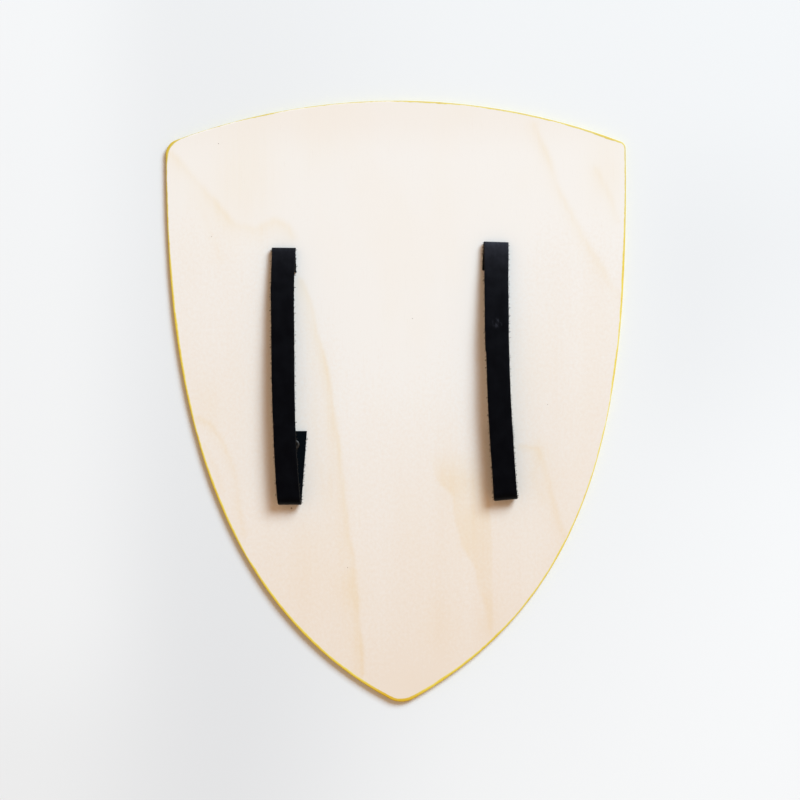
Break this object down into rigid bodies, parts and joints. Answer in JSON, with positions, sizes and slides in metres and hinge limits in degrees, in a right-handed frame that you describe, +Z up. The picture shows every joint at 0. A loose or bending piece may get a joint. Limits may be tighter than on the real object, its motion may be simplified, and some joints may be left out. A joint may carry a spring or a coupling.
{
  "type": "toy heater shield",
  "caption": "Flat plywood toy heater shield with a painted front and rim, and a pair of riveted leather loop straps on its bare back.",
  "frame": {"origin": "on the ground under the middle of the board's width and length, the shield lying on its painted front", "axes": "+Z up, out of the bare back with its straps; +Y towards the top edge; +X across the shield, to the right as its back is seen with the top edge up"},
  "size_m": [0.3, 0.392, 0.0171],
  "materials": {
    "plywood": "bare pale veneer, with yellow paint on the rim and front",
    "black_leather": "smooth black, with raw cut edges",
    "dark_metal": "darkened"
  },
  "bodies": {
    "root": {"board": "plywood", "left_strap": "black_leather", "right_strap": "black_leather", "left_upper_rivet": "dark_metal", "left_lower_rivet": "dark_metal", "right_upper_rivet": "dark_metal", "right_lower_rivet": "dark_metal"}
  },
  "joints": []
}
